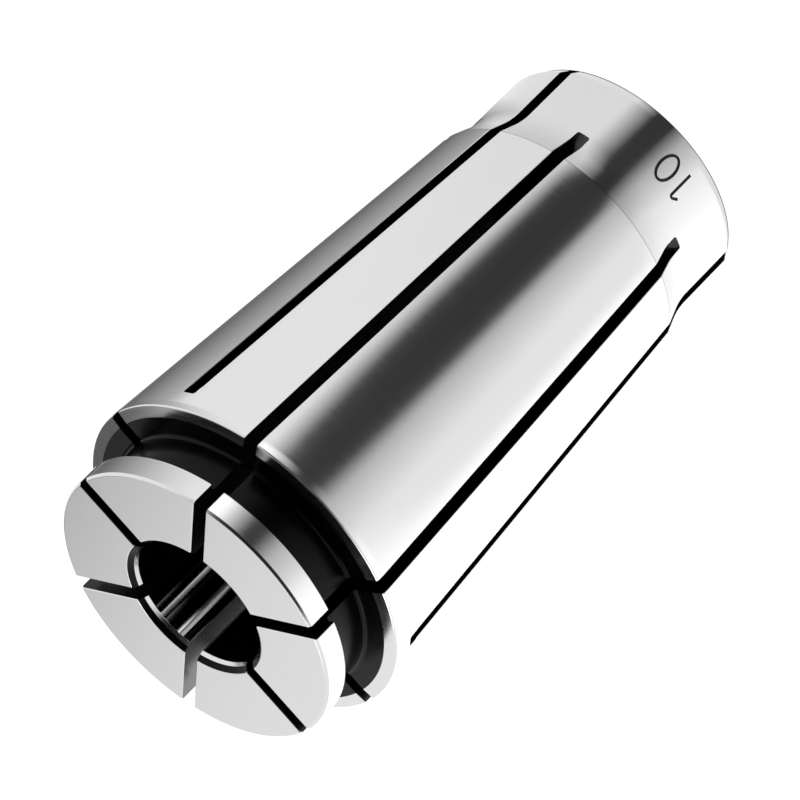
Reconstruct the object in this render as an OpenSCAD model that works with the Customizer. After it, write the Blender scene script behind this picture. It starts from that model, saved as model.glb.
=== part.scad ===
// Slim collet: one piece of spring steel that grips a round tool shank.
// It stands on the end face of its tail, with the nose up.
// Six slots cut from the nose alternate with three cut from the tail, so the
// sleeve closes evenly on the shank when its taper is drawn into a holder.

/* [Overall] */
// Length from the tail's end face to the nose face
overall_l = 46.5; // [44:0.1:50]

/* [Nose] */
// Diameter of the nose ring in front of the groove
nose_d = 21.7; // [21.2:0.1:23]
// Length of the nose ring along the axis
nose_l = 1.9; // [1.4:0.1:3]
// Edge break round the nose face
nose_chamfer = 0.3; // [0.1:0.05:0.6]

/* [Groove] */
// Width of the groove that draws the collet out of its holder
groove_w = 3.1; // [2:0.1:4]
// Diameter at the bottom of the groove
groove_d = 20; // [18:0.1:20.2]
// Fillet in the two corners of the groove
groove_fillet_r = 0.3; // [0.1:0.05:0.4]

/* [Tapered body] */
// Largest diameter, at the rim behind the groove
rim_d = 25; // [24.6:0.1:27]
// Width of the ring that faces the groove, measured along a radius
rim_ring_w = 0.95; // [0.5:0.05:1.2]
// How far that ring falls back towards its outer edge
rim_ring_fall = 0.1; // [0.05:0.05:0.4]
// Rounding of the rim's outer edge
rim_edge_r = 0.25; // [0.1:0.05:0.4]
// Full angle of the taper
taper_angle = 8; // [6:0.5:8.5]

/* [Tail] */
// Length of the tail from its end face to the taper's small end
tail_l = 8.3; // [7:0.1:10]
// Diameter of the tail
tail_d = 19; // [18:0.1:19.2]
// Angle between the axis and the cone that joins the taper to the tail
shoulder_angle = 18.5; // [15:0.5:24]
// Fillet between that cone and the tail
shoulder_fillet_r = 5; // [1:0.5:6]
// Length of the bevel round the tail's end
tail_bevel_l = 0.8; // [0.3:0.1:1.2]
// Depth of the same bevel along a radius
tail_bevel_w = 0.45; // [0.2:0.05:0.8]

/* [Bore] */
// Diameter of the bore that grips the shank
bore_d = 10; // [6:0.5:12]
// Length of the gripping bore from the nose face
grip_l = 30; // [24:0.5:32]
// How much wider the bore is behind its gripping length
relief_step = 1; // [0.4:0.1:2]
// Bevel round the mouth of the bore
mouth_chamfer = 0.55; // [0.2:0.05:0.8]
// Bevel where the bore leaves the tail
rear_chamfer = 0.5; // [0.2:0.05:0.8]

/* [Slots] */
// Number of slots cut from the nose; half as many are cut from the tail
front_slots = 6; // [4, 6, 8]
// Width of the slots cut from the nose
front_slot_w = 1; // [0.6:0.1:1.4]
// Metal left between these slots and the tail's end face
front_slot_stop = 5.3; // [4:0.1:7]
// Width of the slots cut from the tail
rear_slot_w = 1; // [0.6:0.1:1.4]
// Metal left between these slots and the edge of the rim
rear_slot_stop = 1.6; // [1:0.1:4]
// Diameter of the slitting saw, which gives each slot its curved end
saw_d = 40; // [32:1:60]
// How far the saw reaches past the wall of the bore
saw_reach = 1; // [0.5:0.1:1.5]

/* [Hidden] */
$fn = 96;

nose_r = nose_d / 2;
groove_r = groove_d / 2;
rim_r = rim_d / 2;
tail_r = tail_d / 2;
bore_r = bore_d / 2;
relief_r = bore_r + relief_step / 2;
saw_r = saw_d / 2;
rear_slots = front_slots / 2;

// Heights above the tail's end face
groove_top_z = overall_l - nose_l;
groove_floor_z = groove_top_z - groove_w;
rim_z = groove_floor_z - rim_ring_fall;
relief_z = overall_l - grip_l;

// The taper, as a radius at any height, and its small end
half_taper = taper_angle / 2;
function taper_r(z) = rim_r - (rim_z - z) * tan(half_taper);
taper_end_r = taper_r(tail_l);

// Where the shoulder's cone would meet the tail if it had no fillet
shoulder_z = tail_l - (taper_end_r - tail_r) / tan(shoulder_angle);

// How far cutting shapes run past the surfaces that they cut
clear = 1;

// Straight steps in each rounded corner of the section
arc_steps = 6;

// Unit vector in the section, at an angle from the radial direction
function toward(angle) = [cos(angle), sin(angle)];

// Points that round a corner of the section. edge_in and edge_out are the angles
// of its two edges, seen from the corner, in the order in which they are drawn.
function rounded(corner, edge_in, edge_out, radius) =
    let (
        a = toward(edge_in),
        b = toward(edge_out),
        half = acos(a * b) / 2,
        centre = corner + (a + b) / norm(a + b) * radius / sin(half),
        from = corner + a * radius / tan(half) - centre,
        to = corner + b * radius / tan(half) - centre,
        start = atan2(from[1], from[0]),
        turn = (atan2(to[1], to[0]) - start + 540) % 360 - 180
    )
    [for (i = [0 : arc_steps]) centre + radius * toward(start + turn * i / arc_steps)];

// Half section of the turned blank, from the tail up to the nose
module blank_section() {
    ring_angle = atan2(rim_ring_fall, -rim_ring_w);
    polygon(concat(
        [[0, 0], [tail_r - tail_bevel_w, 0], [tail_r, tail_bevel_l]],
        rounded([tail_r, shoulder_z], -90, 90 - shoulder_angle, shoulder_fillet_r),
        [[taper_end_r, tail_l]],
        rounded([rim_r, rim_z], -90 - half_taper, ring_angle, rim_edge_r),
        [[rim_r - rim_ring_w, groove_floor_z]],
        rounded([groove_r, groove_floor_z], 0, 90, groove_fillet_r),
        rounded([groove_r, groove_top_z], -90, 0, groove_fillet_r),
        [[nose_r, groove_top_z], [nose_r, overall_l - nose_chamfer]],
        [[nose_r - nose_chamfer, overall_l], [0, overall_l]]
    ));
}

// Gripping bore, wider behind its gripping length, with a bevel at both ends
module bore_cut() {
    translate([0, 0, -clear]) cylinder(r = bore_r, h = overall_l + 2 * clear);
    translate([0, 0, -clear]) cylinder(r = relief_r, h = relief_z + clear);
    translate([0, 0, overall_l - mouth_chamfer])
        cylinder(r1 = bore_r, r2 = bore_r + mouth_chamfer + clear, h = mouth_chamfer + clear);
    translate([0, 0, -clear])
        cylinder(r1 = relief_r + rear_chamfer + clear, r2 = relief_r, h = rear_chamfer + clear);
}

// One slot, as a saw leaves it: the saw enters at open_z and stops where its rim
// comes out of the surface at end_z. surface_r is the metal's radius there.
module saw_cut(width, open_z, end_z, surface_r) {
    floor_r = bore_r - saw_reach;
    arbor_r = floor_r + saw_r;
    travel = sqrt(pow(saw_r, 2) - pow(arbor_r - surface_r, 2));
    arbor_z = end_z + sign(open_z - end_z) * travel;
    rotate([90, 0, 0]) linear_extrude(height = width, center = true) {
        translate([floor_r, min(arbor_z, open_z)])
            square([rim_r + clear - floor_r, abs(open_z - arbor_z)]);
        intersection() {
            translate([arbor_r, arbor_z]) circle(saw_r, $fn = 360);
            translate([floor_r - clear, min(end_z, open_z) - clear])
                square([rim_r + 2 * clear - floor_r, abs(open_z - end_z) + 2 * clear]);
        }
    }
}

// Slots from the nose, evenly round the axis
module front_slot_cuts() {
    for (i = [0 : front_slots - 1])
        rotate([0, 0, i * 360 / front_slots])
            saw_cut(front_slot_w, overall_l + clear, front_slot_stop, tail_r);
}

// Slots from the tail, each halfway between two of the slots from the nose
module rear_slot_cuts() {
    end_z = rim_z - rear_slot_stop;
    for (i = [0 : rear_slots - 1])
        rotate([0, 0, i * 360 / rear_slots + 180 / front_slots])
            saw_cut(rear_slot_w, -clear, end_z, taper_r(end_z));
}

// The whole collet
module collet() {
    color("silver") difference() {
        rotate_extrude() blank_section();
        bore_cut();
        front_slot_cuts();
        rear_slot_cuts();
    }
}

collet();
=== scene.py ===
# %% [markdown]
# A slim collet: one turned, slotted and ground piece of spring steel, seen as in its photograph.
# The imported CAD model is loaded first. It fixes every size and place, in metres, with the tail's
# end face on the floor and the nose up. The collet built below takes the place of its part, which is
# then hidden.

# %% Load the frame
import math

import bpy
from mathutils import Matrix, Vector


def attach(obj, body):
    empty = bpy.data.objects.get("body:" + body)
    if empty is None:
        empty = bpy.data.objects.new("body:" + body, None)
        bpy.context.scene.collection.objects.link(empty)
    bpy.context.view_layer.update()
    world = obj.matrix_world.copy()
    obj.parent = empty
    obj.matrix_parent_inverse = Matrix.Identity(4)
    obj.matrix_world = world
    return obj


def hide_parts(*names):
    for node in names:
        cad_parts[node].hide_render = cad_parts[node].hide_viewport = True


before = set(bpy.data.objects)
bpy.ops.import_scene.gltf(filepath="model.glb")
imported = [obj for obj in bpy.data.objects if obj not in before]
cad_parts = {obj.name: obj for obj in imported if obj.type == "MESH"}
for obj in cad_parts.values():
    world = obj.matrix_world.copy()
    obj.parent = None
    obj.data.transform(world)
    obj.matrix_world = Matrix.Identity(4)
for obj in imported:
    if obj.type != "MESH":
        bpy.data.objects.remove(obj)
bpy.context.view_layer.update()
MM = 0.001
print("CAD nodes:", list(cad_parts))

# %% [markdown]
# One small function adds any node to any tree. It takes the node's kind, a table of its inputs and
# its settings. An input is a plain value, an earlier node, whose first output is linked, or one
# output of an earlier node. A second function does a sum with such a node. A third turns a colour
# written as sRGB hex into the linear numbers that shaders use.

# %% Helpers for nodes and colours
def add(tree, kind, inputs=None, **settings):
    node = tree.nodes.new(kind)
    for name, value in settings.items():
        setattr(node, name, value)
    for socket, value in (inputs or {}).items():
        if isinstance(value, bpy.types.Node):
            value = value.outputs[0]
        if isinstance(value, bpy.types.NodeSocket):
            tree.links.new(value, node.inputs[socket])
        else:
            node.inputs[socket].default_value = value
    return node


def calc(tree, operation, *values):
    return add(tree, "ShaderNodeMath", dict(enumerate(values)), operation=operation)


def linear(hex_colour):
    channels = [int(hex_colour[i : i + 2], 16) / 255 for i in (1, 3, 5)]
    return [c / 12.92 if c <= 0.04045 else ((c + 0.055) / 1.055) ** 2.4 for c in channels] + [1.0]


def new_material(name):
    material = bpy.data.materials.new(name)
    material.use_nodes = True
    material.node_tree.nodes.clear()
    return material


print("a mid grey, hex 808080, is", round(linear("#808080")[0], 3), "in linear light")

# %% [markdown]
# Ground steel. The outer surfaces of a collet are ground after hardening and then polished. That
# leaves a bright mirror with very fine lines that run round the axis, so its reflections are a
# little soft. The lines are drawn with noise that changes quickly along the radius and the height
# and slowly round the axis. Real lines are some hundredths of a millimetre apart; these are drawn
# about three times as coarse, because finer ones would fall between the picture's dots.
#
# The mouth of the bore is honed, which leaves a finer mirror with less relief. Deeper in, the bore's
# colour fades to almost black as painted shade, so that its mirror shows the slots opposite and not
# itself.

# %% Coordinates that follow a turned surface
GRIND_SPACING = 0.10 * MM
LAY_TURNS = 3.0


def place_parts(tree):
    """The three coordinates of the shaded spot on the collet."""
    place = add(tree, "ShaderNodeTexCoord").outputs["Object"]
    return add(tree, "ShaderNodeSeparateXYZ", {"Vector": place}).outputs


def turned_coordinates(tree):
    """Radius and height in units of the line spacing, and a slow coordinate round the axis."""
    x, y, height = place_parts(tree)
    flat = add(tree, "ShaderNodeCombineXYZ", {"X": x, "Y": y})
    radius = add(tree, "ShaderNodeVectorMath", {0: flat}, operation="LENGTH").outputs["Value"]
    unit = add(tree, "ShaderNodeVectorMath", {0: flat}, operation="NORMALIZE")
    slow = add(tree, "ShaderNodeVectorMath", {0: unit, "Scale": LAY_TURNS}, operation="SCALE")
    slow_x, slow_y, _ = add(tree, "ShaderNodeSeparateXYZ", {"Vector": slow}).outputs
    out = calc(tree, "DIVIDE", radius, GRIND_SPACING)
    up = calc(tree, "DIVIDE", height, GRIND_SPACING)
    steep = calc(tree, "ADD", out, up)
    return add(tree, "ShaderNodeCombineXYZ", {"X": slow_x, "Y": slow_y, "Z": steep})


print("grinding lines are drawn", GRIND_SPACING / MM, "mm apart")

# %% Ground and polished hardened steel
GROUND_COLOUR = "#e4e4e5"
LINE_SPREAD = 0.02
LINE_HEIGHT = 0.01 * MM
# Painted shade in the bore: the heights over which its colour fades in, and its darkest level
BORE_SHADE_LOW, BORE_SHADE_TOP, BORE_PAINTED_SHADE = 37.8 * MM, 40.6 * MM, 0.03
# Painted shade on the shoulder: the heights over which it darkens, and its strength
SHOULDER_LOW, SHOULDER_TOP, SHOULDER_PAINTED_SHADE = 4.8 * MM, 8.3 * MM, 0.2
# A thin painted dark line at the lower edge of the taper: its half width and its strength
EDGE_SHADE_REACH, EDGE_PAINTED_SHADE = 0.05 * MM, 0.4


def painted_shoulder_shade(tree):
    """One over ground steel, and less on the shoulder as painted shade. The edge where the ground taper
    begins gets a thin painted dark line."""
    height = place_parts(tree)["Z"]
    rise = add(
        tree,
        "ShaderNodeMapRange",
        {"Value": height, "From Min": SHOULDER_LOW, "From Max": SHOULDER_TOP, "To Max": SHOULDER_PAINTED_SHADE},
        interpolation_type="SMOOTHSTEP",
    )
    band = calc(tree, "MULTIPLY", rise, calc(tree, "LESS_THAN", height, SHOULDER_TOP))
    from_edge = calc(tree, "ABSOLUTE", calc(tree, "SUBTRACT", height, SHOULDER_TOP))
    edge = calc(tree, "MULTIPLY", calc(tree, "LESS_THAN", from_edge, EDGE_SHADE_REACH), EDGE_PAINTED_SHADE)
    return calc(tree, "SUBTRACT", 1.0, calc(tree, "MAXIMUM", band, edge))


def painted_bore_shade(tree):
    """One over the honed front of the bore, and almost nothing deeper in, as painted shade."""
    return add(
        tree,
        "ShaderNodeMapRange",
        {
            "Value": place_parts(tree)["Z"],
            "From Min": BORE_SHADE_LOW,
            "From Max": BORE_SHADE_TOP,
            "To Min": BORE_PAINTED_SHADE,
        },
        interpolation_type="SMOOTHSTEP",
    )


def ground_material(name, tone, roughness, depth):
    """Steel with grinding lines and the painted shade that tone gives; depth is the strength of their
    relief.
    """
    material = new_material(name)
    tree = material.node_tree
    lines = add(
        tree,
        "ShaderNodeTexNoise",
        {"Vector": turned_coordinates(tree), "Scale": 1.0, "Detail": 2.0, "Roughness": 0.6},
    ).outputs["Fac"]
    rough = add(
        tree,
        "ShaderNodeMapRange",
        {
            "Value": lines,
            "From Min": 0.3,
            "From Max": 0.7,
            "To Min": roughness - LINE_SPREAD,
            "To Max": roughness + LINE_SPREAD,
        },
    )
    bump = add(tree, "ShaderNodeBump", {"Height": lines, "Strength": depth, "Distance": LINE_HEIGHT})
    # The steel's colour, darkened by the painted shade of tone
    tint = add(
        tree,
        "ShaderNodeVectorMath",
        {0: linear(GROUND_COLOUR)[:3], "Scale": tone(tree)},
        operation="SCALE",
    )
    shader = add(
        tree,
        "ShaderNodeBsdfPrincipled",
        {"Base Color": tint, "Metallic": 1.0, "Roughness": rough, "Normal": bump},
    )
    add(tree, "ShaderNodeOutputMaterial", {"Surface": shader})
    return material


ground_steel_with_painted_shade = ground_material("ground hardened spring steel with painted shoulder shade", painted_shoulder_shade, 0.17, 0.05)
honed_steel_with_painted_shade = ground_material("honed steel of the bore with painted shade deeper in", painted_bore_shade, 0.04, 0.02)
print("materials:", ground_steel_with_painted_shade.name, "and", honed_steel_with_painted_shade.name)

# %% [markdown]
# Scale from hardening. Where no grinding wheel reaches, in the slots and the groove, the steel keeps
# the black skin of its heat treatment. It is a thin oxide: almost black, with a soft gloss on the
# sawn walls and less on the turned ones. The engraved strokes are dark grey and rough inside.

# %% Black hardening scale of the slots and the groove, and the engraved strokes
CLOUD_CONTRAST = 0.4
CLOUD_SPREAD = 0.08
CLOUD_HEIGHT = 0.02 * MM


def scale_material(name, hex_colour, roughness, gloss, grain):
    """Steel under an oxide whose tone and roughness change in clouds of the given grain."""
    material = new_material(name)
    tree = material.node_tree
    place = add(tree, "ShaderNodeTexCoord").outputs["Object"]
    cloud = add(
        tree,
        "ShaderNodeTexNoise",
        {"Vector": place, "Scale": 1 / grain, "Detail": 3.0, "Roughness": 0.55},
    ).outputs["Fac"]
    colour = linear(hex_colour)[:3]
    tint = add(
        tree,
        "ShaderNodeMixRGB",
        {
            "Fac": cloud,
            "Color1": [(1 - CLOUD_CONTRAST) * c for c in colour] + [1],
            "Color2": [(1 + CLOUD_CONTRAST) * c for c in colour] + [1],
        },
    )
    rough = add(
        tree,
        "ShaderNodeMapRange",
        {"Value": cloud, "To Min": roughness - CLOUD_SPREAD, "To Max": roughness + CLOUD_SPREAD},
    )
    bump = add(tree, "ShaderNodeBump", {"Height": cloud, "Strength": 0.15, "Distance": CLOUD_HEIGHT})
    shader = add(
        tree,
        "ShaderNodeBsdfPrincipled",
        {
            "Base Color": tint,
            "Metallic": 0.0,
            "Roughness": rough,
            "Specular IOR Level": gloss,
            "Normal": bump,
        },
    )
    add(tree, "ShaderNodeOutputMaterial", {"Surface": shader})
    return material


groove_steel = scale_material("turned steel with black scale", "#030303", 0.24, 0.12, 0.9 * MM)
slot_steel = scale_material("sawn steel with black scale", "#020202", 0.22, 0.7, 0.3 * MM)
mark_steel = scale_material("engraved steel", "#343434", 0.5, 0.3, 0.3 * MM)
print("materials:", [m.name for m in (groove_steel, slot_steel, mark_steel)])

# %% [markdown]
# The half section. A collet is first turned, so its whole shape apart from the slots is one closed
# outline, turned about the axis. The outline's corners are listed from the tail's end face up the
# outside to the nose and back down the bore, each with the radius that breaks it, in millimetres.
# The sizes are those of the CAD model. It adds only what is too small for that: the radii of
# deburred edges, a finer edge break at the nose and at the rim, and a short straight land at the rim.

# %% Half section of the turned blank
OVERALL = 46.5
NOSE_R, NOSE_L, NOSE_CHAMFER = 10.85, 1.9, 0.16
GROOVE_W, GROOVE_R, GROOVE_FILLET = 3.1, 10.0, 0.3
RIM_R, RING_W, RING_FALL = 12.5, 0.95, 0.1
RIM_LAND, LAND_BLEND, RIM_ROUNDING = 0.6, 4.0, 0.11
HALF_TAPER = math.radians(4)
SHOULDER_ANGLE, SHOULDER_FILLET = math.radians(18.5), 5.0
TAIL_L, TAIL_R, TAIL_BEVEL_L, TAIL_BEVEL_W = 8.3, 9.5, 0.8, 0.45
BORE_R, GRIP_L, RELIEF_R, REAR_CHAMFER = 5.0, 30.0, 5.5, 0.5
MOUTH_R, MOUTH_STEP, MOUTH_DEPTH = 5.48, 0.34, 0.605
BREAK, FINE_BREAK = 0.08, 0.03

# Straight steps in an arc that only breaks an edge, and in a larger one
FEW_STEPS, MANY_STEPS = 3, 8
# Length of the short straight piece at each end of an arc, which keeps its shading to itself
SUPPORT = 0.03

groove_top = OVERALL - NOSE_L
groove_floor = groove_top - GROOVE_W
rim_z = groove_floor - RING_FALL
taper_end_r = RIM_R - (rim_z - TAIL_L) * math.tan(HALF_TAPER)
land_r = RIM_R - RIM_LAND * math.tan(HALF_TAPER)
shoulder_z = TAIL_L - (taper_end_r - TAIL_R) / math.tan(SHOULDER_ANGLE)
relief_z = OVERALL - GRIP_L

corners = [
    (RELIEF_R + REAR_CHAMFER, 0, BREAK),
    (TAIL_R - TAIL_BEVEL_W, 0, BREAK),
    (TAIL_R, TAIL_BEVEL_L, 0.2),
    (TAIL_R, shoulder_z, SHOULDER_FILLET),
    (taper_end_r, TAIL_L, BREAK),
    (land_r, rim_z - RIM_LAND, LAND_BLEND),
    (land_r, rim_z, RIM_ROUNDING),
    (RIM_R - RING_W, groove_floor, BREAK),
    (GROOVE_R, groove_floor, GROOVE_FILLET),
    (GROOVE_R, groove_top, GROOVE_FILLET),
    (NOSE_R, groove_top, BREAK),
    (NOSE_R, OVERALL - NOSE_CHAMFER, FINE_BREAK),
    (NOSE_R - NOSE_CHAMFER, OVERALL, FINE_BREAK),
    (MOUTH_R, OVERALL, BREAK),
    (MOUTH_R - MOUTH_STEP, OVERALL - MOUTH_STEP, 0.05),
    (BORE_R, OVERALL - MOUTH_DEPTH, 0.1),
    (BORE_R, relief_z, BREAK),
    (RELIEF_R, relief_z, BREAK),
    (RELIEF_R, REAR_CHAMFER, BREAK),
]
mouth_corner = corners.index((MOUTH_R, OVERALL, BREAK))


def round_corner(before, corner, after, radius):
    """Points of the arc that rounds one corner, and one point on the straight at each end of it."""
    to_before = (before - corner).normalized()
    to_after = (after - corner).normalized()
    half = to_before.angle(to_after) / 2
    reach = radius / math.tan(half)
    centre = corner + (to_before + to_after).normalized() * radius / math.sin(half)
    start = corner + to_before * reach - centre
    end = corner + to_after * reach - centre
    whole = start.angle_signed(end)
    steps = FEW_STEPS if radius <= BREAK else MANY_STEPS
    arc = [centre + Matrix.Rotation(-whole * i / steps, 2) @ start for i in range(steps + 1)]
    return [arc[0] + to_before * SUPPORT] + arc + [arc[-1] + to_after * SUPPORT]


points = [Vector((r, z)) for r, z, _ in corners]
section = []
for i, (_, _, radius) in enumerate(corners):
    section.extend(round_corner(points[i - 1], points[i], points[(i + 1) % len(points)], radius))
    if i == mouth_corner:
        outside = [(p.x, 0, p.y) for p in section]
print("the section has", len(section), "points,", len(outside), "of them on the outside")

# %% [markdown]
# Guides for the modelling. Geometry Nodes can sweep an outline along a path, so each guide is a
# plain chain of points kept in a helper object: the section itself, the way of the saw's edge
# through the sleeve for both kinds of slot, the lips of the slots, and the strokes of the numerals.
# The saw moves in along the axis and stops, so each of its two ways is a straight line that ends
# in the arc of the blade. That arc is why a slot gets shallower towards its end. The lips follow
# the outer line of the section, and rise out of the metal just before the slot ends.

# %% Helper objects that hold chains of points
helpers = []


def chain_object(name, chains):
    """A mesh of edges only, one chain for each list of points in millimetres. A chain that ends
    where it started is closed."""
    verts, edges = [], []
    for chain in chains:
        closed = chain[0] == chain[-1]
        kept = chain[:-1] if closed else chain
        first = len(verts)
        verts.extend(Vector(p) * MM for p in kept)
        edges.extend((first + i, first + i + 1) for i in range(len(kept) - 1))
        if closed:
            edges.append((first + len(kept) - 1, first))
    mesh = bpy.data.meshes.new(name)
    mesh.from_pydata(verts, edges, [])
    helper = bpy.data.objects.new(name, mesh)
    bpy.context.scene.collection.objects.link(helper)
    helpers.append(helper)
    return helper


SLOT_W = 1.0
SAW_R, SAW_REACH, SAW_STEPS = 20.0, 1.0, 40
FRONT_STOP, REAR_STOP = 5.3, 1.6
# How far the saw's ways go past the ends of the collet, and out past its rim
RUN_IN, RUN_OUT = 1, 1.5
saw_floor_r = BORE_R - SAW_REACH
arbor_r = saw_floor_r + SAW_R


def saw_way(open_z, end_z, surface_r):
    """The saw's edge from the open end of the slot to beyond the surface where it stops."""
    travel = math.sqrt(SAW_R**2 - (arbor_r - surface_r) ** 2)
    inward = math.copysign(1, end_z - open_z)
    arbor_z = end_z - inward * travel
    swing = math.acos((arbor_r - RIM_R - RUN_OUT) / SAW_R)
    way = [(saw_floor_r, 0, open_z)]
    for i in range(SAW_STEPS + 1):
        angle = swing * i / SAW_STEPS
        way.append((arbor_r - SAW_R * math.cos(angle), 0, arbor_z + inward * SAW_R * math.sin(angle)))
    return way


rear_end = rim_z - REAR_STOP
rear_end_r = RIM_R - REAR_STOP * math.tan(HALF_TAPER)
nose_way = chain_object("nose saw way", [saw_way(OVERALL + RUN_IN, FRONT_STOP, TAIL_R)])
tail_way = chain_object("tail saw way", [saw_way(-RUN_IN, rear_end, rear_end_r)])

# How far before the slot's end a lip ends, the run over which it rises, and how far it rises
LIP_END, LIP_RUN, LIP_RISE = 0.4, 0.5, 0.09
lip_start = FRONT_STOP + LIP_END
nose_lip_way = [(TAIL_R + LIP_RISE, 0, lip_start)] + [p for p in outside if p[2] > lip_start + LIP_RUN]
lip_stop = rear_end - LIP_END
lip_stop_r = RIM_R - (rim_z - lip_stop) * math.tan(HALF_TAPER)
lip_turn_r = lip_stop_r - LIP_RUN * math.tan(HALF_TAPER)
tail_lip_way = [p for p in outside if p[2] < lip_stop - LIP_RUN]
tail_lip_way += [(lip_turn_r, 0, lip_stop - LIP_RUN), (lip_stop_r + LIP_RISE, 0, lip_stop)]
nose_lip = chain_object("nose slot lip", [nose_lip_way])
tail_lip = chain_object("tail slot lip", [tail_lip_way])
print("saw ways and lips have", [len(h.data.vertices) for h in helpers], "points")

# %% [markdown]
# The bore size is engraved on the tail, between two slots, in plain numerals. Each numeral is one
# stroke of an engraving needle, drawn flat here: a stem with a short flag for the 1, and a
# tall oval for the 0. The tree below wraps the strokes round the tail.

# %% Strokes of the numerals
NUMERAL_H, NUMERAL_W, NUMERAL_SHIFT = 2.3, 1.25, 0.75
FLAG_L, BEND_R, BEND_ANGLE = 0.42, 0.16, 135
BEND_STEPS, OVAL_STEPS = 5, 40
NEEDLE_R, NEEDLE_LIFT = 0.12, 0.03


def round_turns(steps):
    """Even angles round a full turn."""
    return [math.tau * i / steps for i in range(steps)]


def oval(centre_u, width, height):
    """A closed loop that stands on the line that the numerals share."""
    turns = round_turns(OVAL_STEPS)
    loop = [(centre_u + width / 2 * math.cos(a), height / 2 + height / 2 * math.sin(a), 0) for a in turns]
    return loop + loop[:1]


def one_stroke(stem_u, height):
    """A short flag that bends over into the stem, so that the needle never turns on the spot."""
    centre = Vector((stem_u - BEND_R, height - BEND_R, 0))
    angles = [math.radians(BEND_ANGLE - BEND_ANGLE * i / BEND_STEPS) for i in range(BEND_STEPS + 1)]
    bend = [centre + BEND_R * Vector((math.cos(a), math.sin(a), 0)) for a in angles]
    flag = bend[0] - FLAG_L * Vector((1, 1, 0)).normalized()
    return [flag] + bend + [Vector((stem_u, 0, 0))]


one = one_stroke(-NUMERAL_SHIFT, NUMERAL_H)
zero = oval(NUMERAL_SHIFT, NUMERAL_W, NUMERAL_H)
strokes = chain_object("bore size strokes", [one, zero])
print("the numerals have", len(strokes.data.vertices), "points")

# %% [markdown]
# The tree that makes the collet does what the workshop does. It turns the blank, by sweeping the
# half section round a circle. It saws the slots, by sweeping the saw's edge along its way and
# repeating the cut round the axis. It breaks the sharp lips that the saw leaves, with a flared
# sweep along the outline. Last it engraves the numerals. Each cut is a boolean difference, which
# is a good way here because every cutter is a simple closed shape. A cutter carries the finish
# that it leaves behind, so the walls are painted as they are cut. The groove and the bore are
# painted by their place. A cut can leave two points in one spot, so such points are welded.

# %% Inputs of the tree, and its first node
collet_tree = bpy.data.node_groups.new("turned and slotted collet", "GeometryNodeTree")
controls = {
    "Segments": ("NodeSocketInt", 360),
    "Turning radius": ("NodeSocketFloat", 7.5 * MM),
    "Slot width": ("NodeSocketFloat", SLOT_W * MM),
    "Saw corner": ("NodeSocketFloat", 0.15 * MM),
    "Saw depth": ("NodeSocketFloat", 10 * MM),
    "Edge break": ("NodeSocketFloat", 0.05 * MM),
    "Nose slots": ("NodeSocketInt", 6),
    "Tail slots": ("NodeSocketInt", 3),
    "Tail slots turn": ("NodeSocketFloat", math.radians(30)),
    "Nose saw way": ("NodeSocketObject", nose_way),
    "Tail saw way": ("NodeSocketObject", tail_way),
    "Nose slot lip": ("NodeSocketObject", nose_lip),
    "Tail slot lip": ("NodeSocketObject", tail_lip),
    "Strokes": ("NodeSocketObject", strokes),
    "Stroke radius": ("NodeSocketFloat", NEEDLE_R * MM),
    "Stroke from axis": ("NodeSocketFloat", (TAIL_R + NEEDLE_LIFT) * MM),
    "Strokes turn": ("NodeSocketFloat", math.radians(-38)),
    "Strokes height": ("NodeSocketFloat", 1.75 * MM),
    "Weld distance": ("NodeSocketFloat", 0.0005 * MM),
    "Crease angle": ("NodeSocketFloat", math.radians(35)),
    "Ground steel": ("NodeSocketMaterial", ground_steel_with_painted_shade),
    "Honed steel with painted shade": ("NodeSocketMaterial", honed_steel_with_painted_shade),
    "Groove steel": ("NodeSocketMaterial", groove_steel),
    "Slot steel": ("NodeSocketMaterial", slot_steel),
    "Engraved steel": ("NodeSocketMaterial", mark_steel),
}
interface = collet_tree.interface
interface.new_socket(name="Half section", in_out="INPUT", socket_type="NodeSocketGeometry")
for name, (kind, _) in controls.items():
    interface.new_socket(name=name, in_out="INPUT", socket_type=kind)
interface.new_socket(name="Collet", in_out="OUTPUT", socket_type="NodeSocketGeometry")


def make(kind, inputs=None, **settings):
    """A node of the collet's tree."""
    return add(collet_tree, kind, inputs, **settings)


def work_out(operation, *values):
    """A sum in the collet's tree."""
    return calc(collet_tree, operation, *values)


given = make("NodeGroupInput").outputs
print("the tree has", len(controls) + 1, "inputs")

# %% Parts of the tree that are used more than once
def chain_curve(guide):
    """The chains of points of a guide, as curves."""
    info = make("GeometryNodeObjectInfo", {"Object": guide})
    return make("GeometryNodeMeshToCurve", {"Mesh": info.outputs["Geometry"]})


def round_the_axis(cutter, count, first_angle):
    """Copies of a cutter evenly round the axis, as one mesh."""
    spots = make("GeometryNodeMeshLine", {"Count": count, "Offset": (0, 0, 0)})
    share = work_out("DIVIDE", math.tau, count)
    angle = work_out("MULTIPLY_ADD", make("GeometryNodeInputIndex"), share, first_angle)
    turn = make("ShaderNodeCombineXYZ", {"Z": angle})
    copies = make(
        "GeometryNodeInstanceOnPoints",
        {"Points": spots, "Instance": cutter, "Rotation": turn},
    )
    return make("GeometryNodeRealizeInstances", {"Geometry": copies})


def cut_along(guide, normal, profile, count, first_angle):
    """A closed cutter swept along a guide and repeated round the axis. The normal is the sideways
    direction of the guide."""
    way = make(
        "GeometryNodeSetCurveNormal",
        {"Curve": chain_curve(guide), "Normal": normal},
        mode="FREE",
    )
    cutter = make(
        "GeometryNodeCurveToMesh",
        {"Curve": way, "Profile Curve": profile, "Fill Caps": True},
    )
    return round_the_axis(cutter, count, first_angle)


def painted(geometry, name, region=True):
    """The geometry with one of the given materials, on all faces or on a region of them."""
    return make(
        "GeometryNodeSetMaterial",
        {"Geometry": geometry, "Selection": region, "Material": given[name]},
    )


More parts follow.
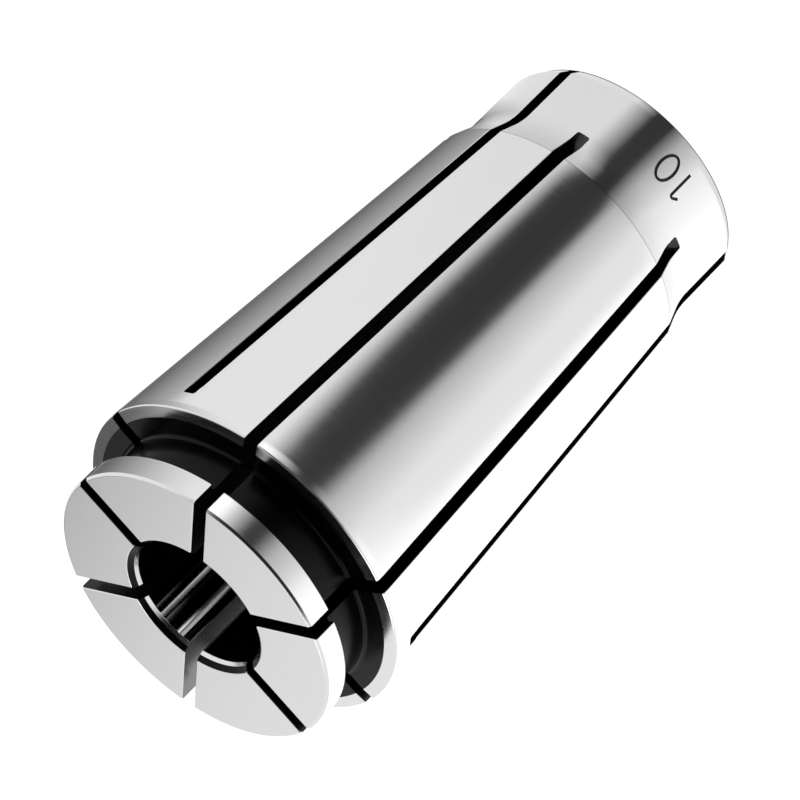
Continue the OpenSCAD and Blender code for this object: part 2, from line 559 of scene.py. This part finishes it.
def cut_out(geometry, cutters):
    """The geometry without the cutters, in one cut."""
    cut = make(
        "GeometryNodeMeshBoolean",
        {"Mesh 1": geometry},
        operation="DIFFERENCE",
        solver="EXACT",
    )
    for cutter in cutters:
        collet_tree.links.new(cutter.outputs[0], cut.inputs["Mesh 2"])
    return cut


def both_true(a, b):
    return make("FunctionNodeBooleanMath", {0: a, 1: b}, operation="AND")


def between(value, low, high):
    """A field that is true between two limits, given in millimetres."""
    above = make("FunctionNodeCompare", {"A": value, "B": low * MM}, operation="GREATER_THAN")
    below = make("FunctionNodeCompare", {"A": value, "B": high * MM}, operation="LESS_THAN")
    return both_true(above, below)


# Where each point or face lies: its coordinates and its distance from the axis
at_x, at_y, at_z = make("ShaderNodeSeparateXYZ", {0: make("GeometryNodeInputPosition")}).outputs
flat = make("ShaderNodeCombineXYZ", {"X": at_x, "Y": at_y})
from_axis = make("ShaderNodeVectorMath", {0: flat}, operation="LENGTH").outputs["Value"]


def ring(low_z, high_z, low_r, high_r):
    """A field that is true in part of the collet between two heights and two radii."""
    return both_true(between(at_z, low_z, high_z), between(from_axis, low_r, high_r))


print("shared parts have", len(collet_tree.nodes), "nodes")

# %% The blank and the cutters
# The half section swept round a circle, with its height along the circle's axis
profile_y = work_out("SUBTRACT", at_x, given["Turning radius"])
laid = make("ShaderNodeCombineXYZ", {"X": at_z, "Y": profile_y})
outline = make("GeometryNodeMeshToCurve", {"Mesh": given["Half section"]})
outline = make("GeometryNodeSetPosition", {"Geometry": outline, "Position": laid})
circle = make(
    "GeometryNodeCurvePrimitiveCircle",
    {"Resolution": given["Segments"], "Radius": given["Turning radius"]},
)
circle = make("GeometryNodeSetCurveNormal", {"Curve": circle, "Normal": (0, 0, 1)}, mode="FREE")
blank = make("GeometryNodeCurveToMesh", {"Curve": circle, "Profile Curve": outline})

# The saw's section: as wide as the slot, with its edge's corners rounded
saw = make(
    "GeometryNodeCurvePrimitiveQuadrilateral",
    {"Width": given["Slot width"], "Height": given["Saw depth"]},
    mode="RECTANGLE",
)
saw = make(
    "GeometryNodeFilletCurve",
    {"Curve": saw, "Count": 6, "Radius": given["Saw corner"]},
    mode="POLY",
)
shift = make("ShaderNodeCombineXYZ", {"Y": work_out("MULTIPLY", given["Saw depth"], 0.5)})
saw = make("GeometryNodeSetPosition", {"Geometry": saw, "Offset": shift})

# The lip's section: narrower than the slot inside the metal, and flared at 45 degrees outside it.
# LIP_REACH says how many edge breaks it reaches inwards and outwards from the surface.
LIP_REACH = 1.2
edge_break, slot_width = given["Edge break"], given["Slot width"]
lip = make(
    "GeometryNodeCurvePrimitiveQuadrilateral",
    {
        "Height": work_out("MULTIPLY", edge_break, 2 * LIP_REACH),
        "Bottom Width": work_out("MULTIPLY_ADD", edge_break, 2 * (1 + LIP_REACH), slot_width),
        "Top Width": work_out("MULTIPLY_ADD", edge_break, 2 * (1 - LIP_REACH), slot_width),
        "Offset": 0.0,
    },
    mode="TRAPEZOID",
)

nose_cuts = given["Nose slots"], 0.0
tail_cuts = given["Tail slots"], given["Tail slots turn"]
saws = [
    cut_along(given["Nose saw way"], (0, 1, 0), saw, *nose_cuts),
    cut_along(given["Tail saw way"], (0, -1, 0), saw, *tail_cuts),
]
lips = [
    cut_along(given["Nose slot lip"], (0, 1, 0), lip, *nose_cuts),
    cut_along(given["Tail slot lip"], (0, 1, 0), lip, *tail_cuts),
]

# The strokes, wrapped round the tail
pen_r = given["Stroke from axis"]
angle = work_out("ADD", work_out("DIVIDE", at_x, pen_r), given["Strokes turn"])
wrapped = make(
    "ShaderNodeCombineXYZ",
    {
        "X": work_out("MULTIPLY", work_out("COSINE", angle), pen_r),
        "Y": work_out("MULTIPLY", work_out("SINE", angle), pen_r),
        "Z": work_out("ADD", at_y, given["Strokes height"]),
    },
)
needle_way = make(
    "GeometryNodeSetPosition",
    {"Geometry": chain_curve(given["Strokes"]), "Position": wrapped},
)
needle = make("GeometryNodeCurvePrimitiveCircle", {"Resolution": 8, "Radius": given["Stroke radius"]})
engraving = make(
    "GeometryNodeCurveToMesh",
    {"Curve": needle_way, "Profile Curve": needle, "Fill Caps": True},
)
print("the tree has", len(collet_tree.nodes), "nodes so far")

# %% The cuts, the finishes and the shading
cutters = [painted(cutter, "Slot steel") for cutter in saws]
cutters += [painted(cutter, "Ground steel") for cutter in lips]
cut = cut_out(painted(blank, "Ground steel"), cutters)

# The turned surfaces that aren't ground, each by its place. A face counts by its middle, so most
# limits have a little slack; SKIN is the slack of a wall that is made of flat facets.
SKIN = 0.004
regions = [
    ("Groove steel", ring(groove_floor - 0.03, groove_top + 0.01, GROOVE_R - 0.1, RIM_R - RING_W)),
    ("Groove steel", ring(OVERALL - MOUTH_STEP, OVERALL - 0.01, BORE_R, MOUTH_R)),
    ("Honed steel with painted shade", ring(relief_z, OVERALL - MOUTH_DEPTH, 0, BORE_R + SKIN)),
    ("Honed steel with painted shade", ring(REAR_CHAMFER - 0.1, relief_z + 0.05, 0, RELIEF_R + SKIN)),
]
for name, region in regions:
    cut = painted(cut, name, region)
cut = cut_out(cut, [painted(engraving, "Engraved steel")])
cut = make("GeometryNodeMergeByDistance", {"Geometry": cut, "Distance": given["Weld distance"]})

# Smooth faces, with a crease kept wherever two faces meet at more than the crease angle
smooth = make("GeometryNodeSetShadeSmooth", {"Geometry": cut, "Shade Smooth": True}, domain="FACE")
edge_angle = make("GeometryNodeInputMeshEdgeAngle").outputs["Unsigned Angle"]
steep = make(
    "FunctionNodeCompare",
    {"A": edge_angle, "B": given["Crease angle"]},
    operation="GREATER_THAN",
)
creased = make(
    "GeometryNodeSetShadeSmooth",
    {"Geometry": smooth, "Selection": steep, "Shade Smooth": False},
    domain="EDGE",
)
make("NodeGroupOutput", {0: make("GeometryNodeRealizeInstances", {"Geometry": creased})})
print("the tree has", len(collet_tree.nodes), "nodes")

# %% Make the collet and turn it into a plain mesh
blank_object = chain_object("collet section", [[(p.x, 0, p.y) for p in section + section[:1]]])
maker = blank_object.modifiers.new("turned and slotted collet", "NODES")
maker.node_group = collet_tree
for item in interface.items_tree:
    if item.in_out == "INPUT" and item.name in controls:
        maker[item.identifier] = controls[item.name][1]

graph = bpy.context.evaluated_depsgraph_get()
mesh = bpy.data.meshes.new_from_object(blank_object.evaluated_get(graph))
mesh.name = "slotted_collet"
for helper in helpers:
    bpy.data.objects.remove(helper)
collet = bpy.data.objects.new("slotted_collet", mesh)
bpy.context.scene.collection.objects.link(collet)
mesh.calc_loop_triangles()
print("collet:", len(mesh.vertices), "vertices and", len(mesh.loop_triangles), "triangles")
print("finishes:", [m.name for m in mesh.materials])

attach(collet, "root")
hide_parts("collet")

# %% [markdown]
# The camera. Its place, its tilt and its lens come from a fit to the photograph's outlines: it looks
# down on the standing collet at about 31 degrees from far away through a long lens, and is rolled
# so that the nose points to the lower left.

# %% Camera at the photograph's viewing angle
CAMERA_PLACE = Vector((343.123, -144.283, 247.776)) * MM
CAMERA_RIGHT = Vector((0.058861, -0.794659, -0.604193))
CAMERA_UP = Vector((0.609449, 0.507962, -0.608722))
CAMERA_LENS = 296.518

camera_data = bpy.data.cameras.new("photo camera")
camera_data.sensor_width = 36
camera_data.sensor_height = 36
camera_data.sensor_fit = "HORIZONTAL"
camera_data.lens = CAMERA_LENS
camera_data.clip_start = 0.01
camera_data.clip_end = 20
camera = bpy.data.objects.new("photo camera", camera_data)
bpy.context.scene.collection.objects.link(camera)
back = CAMERA_RIGHT.cross(CAMERA_UP).normalized()
turn = Matrix((CAMERA_RIGHT, CAMERA_UP, back)).transposed()
camera.matrix_world = Matrix.Translation(CAMERA_PLACE) @ turn.to_4x4()
bpy.context.scene.camera = camera
print("camera", round(math.degrees(math.asin(back.z)), 1), "degrees above the horizon")

# %% [markdown]
# The floor is plain and pale. The camera sees it as white; the steel sees the same white with more
# of the collet's soft shadow in it. A black disc under the foot is painted shadow: it stands in for
# the shade beneath the collet and keeps the bore dark, and its edge shows as a thin grey line of
# painted contact shadow round the foot.

# %% White floor and the black disc of painted shadow under the foot
# The share of the floor's light that is its own glow, for the camera and for the steel. The rest
# is what falls on it.
GLOW_FOR_CAMERA, GLOW_FOR_STEEL = 0.8, 0.68
GLOW, CAMERA_EXTRA = 1.15, 0.05
FLOOR_SIDE, FLOOR_Z = 1500, -0.02
DISC_R, DISC_Z, DISC_STEPS = 9.07, -0.01, 180


def flat_shape(name, points, height, material):
    """One flat face at a height, in millimetres, as a piece of the studio."""
    mesh = bpy.data.meshes.new(name)
    mesh.from_pydata([Vector((x, y, height)) * MM for x, y in points], [], [range(len(points))])
    mesh.materials.append(material)
    shape = bpy.data.objects.new(name, mesh)
    bpy.context.scene.collection.objects.link(shape)


floor_white = new_material("white floor")
floor_tree = floor_white.node_tree
light_path = add(floor_tree, "ShaderNodeLightPath").outputs
for_camera = calc(floor_tree, "MULTIPLY", light_path["Is Camera Ray"], GLOW_FOR_CAMERA)
for_steel = calc(floor_tree, "MULTIPLY", light_path["Is Glossy Ray"], GLOW_FOR_STEEL)
share = calc(floor_tree, "MAXIMUM", for_camera, for_steel)
glow = calc(floor_tree, "MULTIPLY_ADD", light_path["Is Camera Ray"], CAMERA_EXTRA, GLOW)
matt = add(floor_tree, "ShaderNodeBsdfDiffuse", {"Color": (0.9, 0.9, 0.9, 1)})
white = add(floor_tree, "ShaderNodeEmission", {"Color": (1, 1, 1, 1), "Strength": glow})
mix = add(floor_tree, "ShaderNodeMixShader", {0: share, 1: matt, 2: white})
add(floor_tree, "ShaderNodeOutputMaterial", {"Surface": mix})
floor_corners = [(x * FLOOR_SIDE, y * FLOOR_SIDE) for x, y in [(-1, -1), (1, -1), (1, 1), (-1, 1)]]
flat_shape("floor", floor_corners, FLOOR_Z, floor_white)

# Painted shadow: a black disc under the foot stands in for the shade beneath the collet
painted_shadow_material = new_material("painted shadow under the foot")
painted_shadow_shader = add(painted_shadow_material.node_tree, "ShaderNodeBsdfDiffuse", {"Color": (0.003, 0.003, 0.003, 1)})
add(painted_shadow_material.node_tree, "ShaderNodeOutputMaterial", {"Surface": painted_shadow_shader})
disc_edge = [(DISC_R * math.cos(a), DISC_R * math.sin(a)) for a in round_turns(DISC_STEPS)]
flat_shape("black disc", disc_edge, DISC_Z, painted_shadow_material)
print("floor", 2 * FLOOR_SIDE * MM, "m wide, disc", 2 * DISC_R, "mm wide")

# %% [markdown]
# Polished metal shows its surroundings, so a studio puts cards round it. They lie on the floor,
# where the upright walls of the collet mirror them, and only reflections see them. A black flag
# towards the camera gives the dark band along the taper, a grey card on one side gives the darker
# edge, and a lit card on the other gives the white one. A narrow bright strip gives the nose ring
# its white end beside a slot.
#
# Each card is laid out by what the walls mirror. A wall sends the camera's line of sight down to
# the floor: the turn is the direction of that mirrored line round the axis, in degrees, and the
# reach is its length along the floor, in millimetres. The foot of the collet mirrors a reach of
# nothing, the small end of the taper 10, the rim 50 to 65 and the nose 75. A card has rows from near to
# far and columns from side to side; its cover and brightness belong to the columns, and each row
# has a strength, the reach of its two ends, and the turn of every column.

# %% Cards that the steel mirrors
CAMERA_TURN = math.degrees(math.atan2(back.y, back.x))
# How much the wall's radius grows with the reach, and the steps between two rows or columns
WALL_GROWTH = 0.06
SPLIT = 4


def mirrored_spot(reach, turn):
    """The spot on the floor that a wall mirrors to the camera."""
    wall = math.radians((turn + CAMERA_TURN) / 2)
    wall_r = min(RIM_R, TAIL_R + WALL_GROWTH * reach)
    line = math.radians(turn)
    x = wall_r * math.cos(wall) + reach * math.cos(line)
    y = wall_r * math.sin(wall) + reach * math.sin(line)
    return Vector((x, y, 0)) * MM


def split_steps(items):
    """The items of a list, with even steps put between each two."""
    fine = []
    for a, b in zip(items, items[1:]):
        for i in range(SPLIT):
            fine.append([p + (q - p) * i / SPLIT for p, q in zip(a, b)])
    return fine + [list(items[-1])]


def card_material(name):
    """Light of the card's own brightness where its cover is one, and nothing where it is nought."""
    material = new_material(name)
    tree = material.node_tree
    cover = add(tree, "ShaderNodeAttribute", attribute_name="cover").outputs["Fac"]
    glow = add(tree, "ShaderNodeAttribute", attribute_name="glow").outputs["Fac"]
    clear = add(tree, "ShaderNodeBsdfTransparent")
    light = add(tree, "ShaderNodeEmission", {"Color": (1, 1, 1, 1), "Strength": glow})
    both = add(tree, "ShaderNodeMixShader", {0: cover, 1: clear, 2: light})
    add(tree, "ShaderNodeOutputMaterial", {"Surface": both})
    return material


def card(name, height, columns, rows):
    """A card on the floor. columns: (cover, brightness). rows: (strength, reach, reach, turns)."""
    verts, covers, glows = [], [], []
    for strength, reach_from, reach_to, *turns in split_steps(rows):
        fine = split_steps([(turn, *column) for turn, column in zip(turns, columns)])
        for i, (turn, cover, glow) in enumerate(fine):
            reach = reach_from + (reach_to - reach_from) * i / (len(fine) - 1)
            verts.append(mirrored_spot(reach, turn) + Vector((0, 0, height * MM)))
            covers.append(cover * strength)
            glows.append(glow)
    wide = SPLIT * (len(columns) - 1) + 1
    tall = SPLIT * (len(rows) - 1) + 1
    faces = []
    for i in range(tall - 1):
        for j in range(wide - 1):
            first = i * wide + j
            faces.append((first, first + wide, first + wide + 1, first + 1))
    mesh = bpy.data.meshes.new(name)
    mesh.from_pydata(verts, [], faces)
    mesh.attributes.new("cover", "FLOAT", "POINT").data.foreach_set("value", covers)
    mesh.attributes.new("glow", "FLOAT", "POINT").data.foreach_set("value", glows)
    mesh.materials.append(card_material(name))
    item = bpy.data.objects.new(name, mesh)
    bpy.context.scene.collection.objects.link(item)
    item.visible_camera = False
    item.visible_diffuse = False
    item.visible_shadow = False
    item.visible_transmission = False


card(
    "black flag",
    0.02,
    [(0, 0.04), (1, 0.04), (1, 0.04), (0.43, 0.04), (0, 0.04)],
    [
        (1, -0.6, -0.6, 15, -8, -24, -40, -66),
        (1, 8, 8, 17, -6, -23, -37, -62),
        (1, 11, 11, 21, 6, -29, -36, -64),
        (1, 30, 30, 21, 6, -29, -36, -64),
        (1, 38, 38, 20, 5, -28, -36, -64),
        (1, 46, 46, 18, 2, -27, -37, -64),
        (1, 56, 56, 15, 0, -25, -37, -64),
        (1, 66, 66, 7, -11, -22, -36, -66),
        (1, 140, 140, 5, -13, -21, -35, -66),
        (1, 200, 200, 34, 20, -40, -46, -54),
        (1, 900, 900, 34, 20, -40, -46, -54),
    ],
)
card(
    "grey card",
    0.01,
    [(0, 0.5), (1, 0.5), (1, 0.27), (1, 0.16), (1, 0.16), (1, 0.34), (1, 0.2), (0, 0.2)],
    [
        (0, 7, 1.5, 85, 89, 118, 134, 143, 150, 160, 175),
        (1, 11, 7, 85, 89, 118, 134, 143, 150, 160, 175),
        (1, 45, 45, 85, 90, 118, 134, 143, 150, 160, 175),
        (1, 56, 56, 85, 94, 118, 134, 143, 150, 160, 175),
        (1, 66, 66, 80, 98, 120, 134, 143, 150, 160, 175),
        (1, 76, 76, 35, 82, 108, 124, 134, 139, 142, 146),
        (1, 140, 140, 35, 82, 108, 124, 134, 139, 142, 146),
    ],
)
card(
    "lit card",
    0.01,
    [(0, 1.4), (1, 1.4), (1, 1.4)],
    [
        (1, 0, 0, -50, -115, -215),
        (1, 8, 8, -55, -110, -215),
        (1, 11, 11, -84, -97, -215),
        (1, 45, 45, -84, -97, -215),
        (1, 52, 52, -65, -105, -215),
        (1, 75, 75, -52, -80, -215),
        (1, 140, 140, -52, -80, -215),
    ],
)
card(
    "bright strip",
    0.03,
    [(0, 1.6), (1, 1.6), (0, 1.6)],
    [
        (0, 64, 64, 24, 14, 4),
        (1, 72, 72, 24, 14, 4),
        (1, 100, 100, 24, 14, 4),
        (0, 140, 140, 24, 14, 4),
    ],
)
print("four cards round the collet, for a camera at turn", round(CAMERA_TURN, 1))

# %% [markdown]
# Light. A white room lights everything evenly, and one large soft lamp above adds a direction. The
# room has darker parts, which only small faces of the collet mirror: the dark space above and
# below the camera, seen in the broken edges; a light grey ceiling; and a dark board beyond the
# collet, seen in the ring behind the groove. The camera sees the room as plain white.

# %% World and lamp
ROOM_LEVEL = 0.97


def heading(turn, rise):
    """A direction from its turn round the axis and its rise above the horizon, in degrees."""
    turn, rise = math.radians(turn), math.radians(rise)
    return (math.cos(rise) * math.cos(turn), math.cos(rise) * math.sin(turn), math.sin(rise))


# Each dark part: its heading, the angles at which it ends and is full, and its brightness
DARK_PARTS = [
    (heading(-38, 59), 40, 29, 0.03),
    (heading(-14, 28), 33, 25, 0.03),
    (heading(0, 90), 46, 34, 0.6),
    (heading(138, 22), 19, 15, 0.1),
]

world = bpy.data.worlds.new("white room")
bpy.context.scene.world = world
world.use_nodes = True
world_tree = world.node_tree
world_tree.nodes.clear()
direction = add(world_tree, "ShaderNodeTexCoord").outputs["Generated"]
room = ROOM_LEVEL
for towards, ends, full, brightness in DARK_PARTS:
    facing = add(world_tree, "ShaderNodeVectorMath", {0: direction, 1: towards}, operation="DOT_PRODUCT")
    part = add(
        world_tree,
        "ShaderNodeMapRange",
        {
            "Value": facing.outputs["Value"],
            "From Min": math.cos(math.radians(ends)),
            "From Max": math.cos(math.radians(full)),
            "To Min": 1.0,
            "To Max": brightness,
        },
        interpolation_type="SMOOTHSTEP",
    )
    room = calc(world_tree, "MULTIPLY", room, part)
seen_by_camera = add(world_tree, "ShaderNodeLightPath").outputs["Is Camera Ray"]
level = add(world_tree, "ShaderNodeMix", {0: seen_by_camera, 2: room, 3: 1.0}, data_type="FLOAT")
air = add(world_tree, "ShaderNodeBackground", {"Color": (1, 1, 1, 1), "Strength": level})
add(world_tree, "ShaderNodeOutputWorld", {"Surface": air})

lamp_data = bpy.data.lights.new("soft lamp", "AREA")
lamp_data.shape = "DISK"
lamp_data.size = 0.5
lamp_data.energy = 2.0
lamp = bpy.data.objects.new("soft lamp", lamp_data)
lamp.location = (-0.35, -0.25, 0.75)
lamp.rotation_euler = (-lamp.location).to_track_quat("-Z", "Y").to_euler()
bpy.context.scene.collection.objects.link(lamp)
bpy.context.scene.view_settings.view_transform = "Standard"
print("lamp", round(lamp.location.length, 2), "m away")
